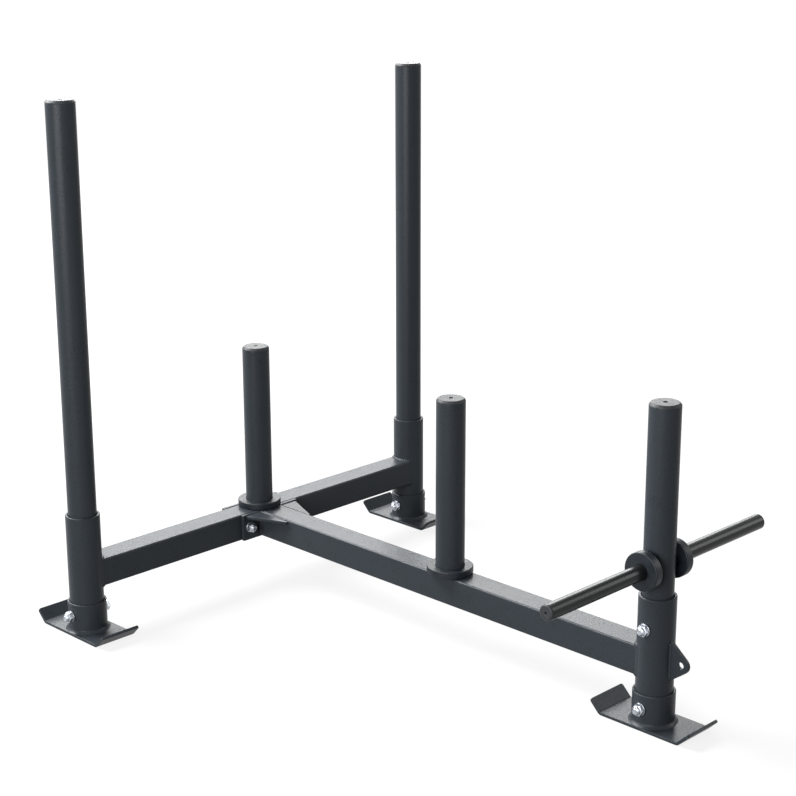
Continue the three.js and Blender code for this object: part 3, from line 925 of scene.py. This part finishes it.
# Bolts and nuts are stacks of loops. No two loops that follow each other lie in one plane, where
# the bridge could twist: the flat faces are a hair hollow.
for name, length_axis in (
    ("left_clamp", "Y"),
    ("right_clamp", "Y"),
    ("front_horn", "X"),
    ("left_skid", "X"),
    ("right_skid", "X"),
    ("front_skid", "X"),
):
    axis = "XYZ".index(length_axis)
    grip_centre = (centre(f"{name}_head_washer") + centre(f"{name}_nut_washer")) / 2
    washer_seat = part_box(f"{name}_head_washer")[0][axis] - grip_centre[axis]
    head_seat = washer_seat + washer_thickness + seat_gap
    # Local Z points out through the head
    if length_axis == "X":
        turn = Matrix.Rotation(pi / 2, 4, "Y")
    else:
        turn = Matrix.Rotation(-pi / 2, 4, "X")
    set_place = Matrix.Translation(grip_centre) @ turn

    mesh = bmesh.new()
    head_top = head_seat + head_height
    thread_end = -(head_seat + nut_height + thread_shown)
    thread_start = thread_end + thread_turns * thread_pitch
    loops = [
        round_loop(mesh, dish_floor_radius, head_top - head_dish),
        round_loop(mesh, dish_rim_radius, head_top - face_hollow),
        round_loop(mesh, hex_chamfer_radius, head_top),
        hex_loop(mesh, head_top, 1),
        hex_loop(mesh, head_seat, 0),
        round_loop(mesh, bolt_radius, head_seat + face_hollow),
        round_loop(mesh, bolt_radius, thread_start),
    ]
    for thread in range(thread_turns):
        crest = thread_start - thread * thread_pitch
        for down in (root_start, root_end):
            loops.append(round_loop(mesh, thread_root, crest - down * thread_pitch))
        if thread < thread_turns - 1:
            for down in (crest_start, crest_end):
                loops.append(round_loop(mesh, bolt_radius, crest - down * thread_pitch))
    for share, inward in end_profile:
        loops.append(round_loop(mesh, share * bolt_radius, thread_end + inward))
    stack(mesh, loops)
    bmesh.ops.transform(mesh, matrix=set_place, verts=mesh.verts)
    add_piece(f"{name}_hex_bolt", mesh, zinc, [f"{name}_bolt"])

    mesh = bmesh.new()
    nut_near = -head_seat
    nut_shoulder = nut_near - nut_hex_height
    nut_far = nut_near - nut_height
    loops = [
        round_loop(mesh, nut_bore, nut_near - nut_mouth_depth),
        round_loop(mesh, nut_bore + nut_mouth_flare, nut_near - face_hollow),
        round_loop(mesh, hex_chamfer_radius, nut_near),
        hex_loop(mesh, nut_near, 1),
        hex_loop(mesh, nut_shoulder, -1),
        round_loop(mesh, hex_chamfer_radius, nut_shoulder),
    ]
    for beyond, out in crown_foot:
        loops.append(round_loop(mesh, nut_crown_radius + beyond, nut_shoulder - out))
    for beyond, inward in crown_end:
        loops.append(round_loop(mesh, nut_crown_radius + beyond, nut_far + inward))
    for beyond, inward in ring_mouth:
        loops.append(round_loop(mesh, nut_bore + beyond, nut_far + inward))
    stack(mesh, loops, closed=True)
    bmesh.ops.transform(mesh, matrix=set_place, verts=mesh.verts)
    add_piece(f"{name}_lock_nut", mesh, zinc, [f"{name}_nut"])

    for end, start in (("head", washer_seat), ("nut", -washer_seat - washer_thickness)):
        mesh = turned([
            (washer_bore, start, washer_bore_edge),
            (washer_radius, start, washer_outer_edge),
            (washer_radius, start + washer_thickness, washer_outer_edge),
            (washer_bore, start + washer_thickness, washer_bore_edge),
        ])
        bmesh.ops.transform(mesh, matrix=set_place, verts=mesh.verts)
        node = f"{name}_{end}_washer"
        add_piece(f"{name}_{end}_flat_washer", mesh, zinc, [node])


# Camera
# It stands out to the front and left of the sled, at chest height, and looks a little down on it,
# as the photograph does. The angles and the lens come from fitting a camera to the sled's edges.
camera_place = Vector((-2.10706, -1.99735, 1.27661))
camera_azimuth = radians(-45.20)
camera_elevation = radians(16.19)
camera_roll = radians(-0.16)
sensor_width = 36.0
focal_pixels = 1807.24
picture_width = 796

backward = Vector((
    sin(camera_azimuth) * cos(camera_elevation),
    -cos(camera_azimuth) * cos(camera_elevation),
    sin(camera_elevation),
))
level_right = Vector((cos(camera_azimuth), sin(camera_azimuth), 0))
level_up = backward.cross(level_right)
right = level_right * cos(camera_roll) + level_up * sin(camera_roll)
up = level_up * cos(camera_roll) - level_right * sin(camera_roll)
camera_data = bpy.data.cameras.new("camera")
camera_data.sensor_width = sensor_width
camera_data.lens = focal_pixels / picture_width * sensor_width
camera = bpy.data.objects.new("camera", camera_data)
bpy.context.scene.collection.objects.link(camera)
turn = Matrix((right, up, backward)).transposed()
camera.matrix_world = Matrix.Translation(camera_place) @ turn.to_4x4()
bpy.context.scene.camera = camera


# Studio
# A white floor that runs out to a white background, as on a catalogue sweep. Camera and glossy
# rays see it as white, and part of its tone is still lit, so that it keeps the sled's shadow.
floor_half = 40.0
floor_drop = 0.0004
floor_glow = 0.84
glow_near = 1.0
glow_far = 3.0
ambient_level = 0.08


def seen_rays(shader):
    # 1 where the camera looks, straight, in a mirror or through something clear, 0 for the light
    # that falls on the sled
    ray = add_node(shader, "ShaderNodeLightPath")
    seen_directly = add_node(
        shader, "ShaderNodeMath", {"operation": "ADD"},
        {0: ray.outputs["Is Camera Ray"], 1: ray.outputs["Is Glossy Ray"]},
    )
    seen = add_node(
        shader, "ShaderNodeMath", {"operation": "ADD", "use_clamp": True},
        {0: seen_directly.outputs["Value"], 1: ray.outputs["Is Transmission Ray"]},
    )
    return seen.outputs["Value"]


floor_paint = new_finish("white_studio_floor")
seen = seen_rays(floor_paint)
speckle = add_node(floor_paint, "ShaderNodeTexNoise", {"Scale": 3.0, "Detail": 2.0})
ground = add_node(floor_paint, "ShaderNodeTexCoord")
distance = add_node(
    floor_paint, "ShaderNodeVectorMath", {"operation": "LENGTH"}, {0: ground.outputs["Object"]}
)
outward = add_node(
    floor_paint, "ShaderNodeMapRange",
    {"From Min": glow_near, "From Max": glow_far, "To Min": floor_glow, "To Max": 1.0},
    {"Value": distance.outputs["Value"]},
)
glow_level = add_node(
    floor_paint, "ShaderNodeMath", {"operation": "MULTIPLY"},
    {0: seen, 1: outward.outputs["Result"]},
)
glow = add_node(
    floor_paint, "ShaderNodeEmission", {"Color": (1, 1, 1, 1)},
    {"Strength": glow_level.outputs["Value"]},
)
lit = add_node(
    floor_paint, "ShaderNodeBsdfDiffuse", {"Roughness": 0.0},
    {"Color": tint(floor_paint, speckle.outputs["Fac"], "#4a4a4a", "#4e4e4e")},
)
floor_sum = add_node(
    floor_paint, "ShaderNodeAddShader", links={0: glow.outputs["Emission"], 1: lit.outputs["BSDF"]}
)
add_node(floor_paint, "ShaderNodeOutputMaterial", links={"Surface": floor_sum.outputs["Shader"]})

mesh = bmesh.new()
bmesh.ops.create_grid(mesh, x_segments=1, y_segments=1, size=floor_half)
bmesh.ops.translate(mesh, vec=(0, 0, -floor_drop), verts=mesh.verts)
floor_mesh = bpy.data.meshes.new("studio_floor")
mesh.to_mesh(floor_mesh)
mesh.free()
floor_mesh.materials.append(floor_paint)
floor = bpy.data.objects.new("studio_floor", floor_mesh)
bpy.context.scene.collection.objects.link(floor)

world = bpy.data.worlds.new("studio_surround")
bpy.context.scene.world = world
world.use_nodes = True
world.node_tree.nodes.clear()
surround_level = add_node(
    world, "ShaderNodeMapRange", {"To Min": ambient_level, "To Max": 1.0},
    {"Value": seen_rays(world)},
)
surround = add_node(
    world, "ShaderNodeBackground", {"Color": (1, 1, 1, 1)},
    {"Strength": surround_level.outputs["Result"]},
)
add_node(world, "ShaderNodeOutputWorld", links={"Surface": surround.outputs["Background"]})


def softbox(name, place, target, width, height, power):
    lamp = bpy.data.lights.new(name, "AREA")
    lamp.shape = "RECTANGLE"
    lamp.size = width
    lamp.size_y = height
    lamp.energy = power
    stand = bpy.data.objects.new(name, lamp)
    bpy.context.scene.collection.objects.link(stand)
    aim = (Vector(target) - Vector(place)).to_track_quat("-Z", "Y").to_matrix().to_4x4()
    stand.matrix_world = Matrix.Translation(place) @ aim
    stand.visible_camera = False


# From above and behind, for the pale tops of beams, rings and caps
softbox(
    "rear_high_softbox", place=(-1.2, 3.0, 3.3), target=(0, 0, 0.2), width=2.2, height=2.2,
    power=740,
)
# Opposite the camera, for the grey bloom that mirrors in the level faces
softbox(
    "back_softbox", place=(2.7, 3.5, 2.6), target=(0, 0, 0.3), width=4.4, height=2.4,
    power=335,
)
# Wide and low, for one soft highlight down each post
softbox(
    "left_softbox", place=(-3.2, -0.95, 1.2), target=(0, 0, 0.6), width=2.4, height=1.8,
    power=230,
)
# Weak, so that the faces that look to the front don't go black
softbox(
    "front_right_softbox", place=(3.4, -2.6, 2.2), target=(0, 0, 0.3), width=2.0, height=2.0,
    power=68,
)

bpy.context.scene.view_settings.view_transform = "Standard"
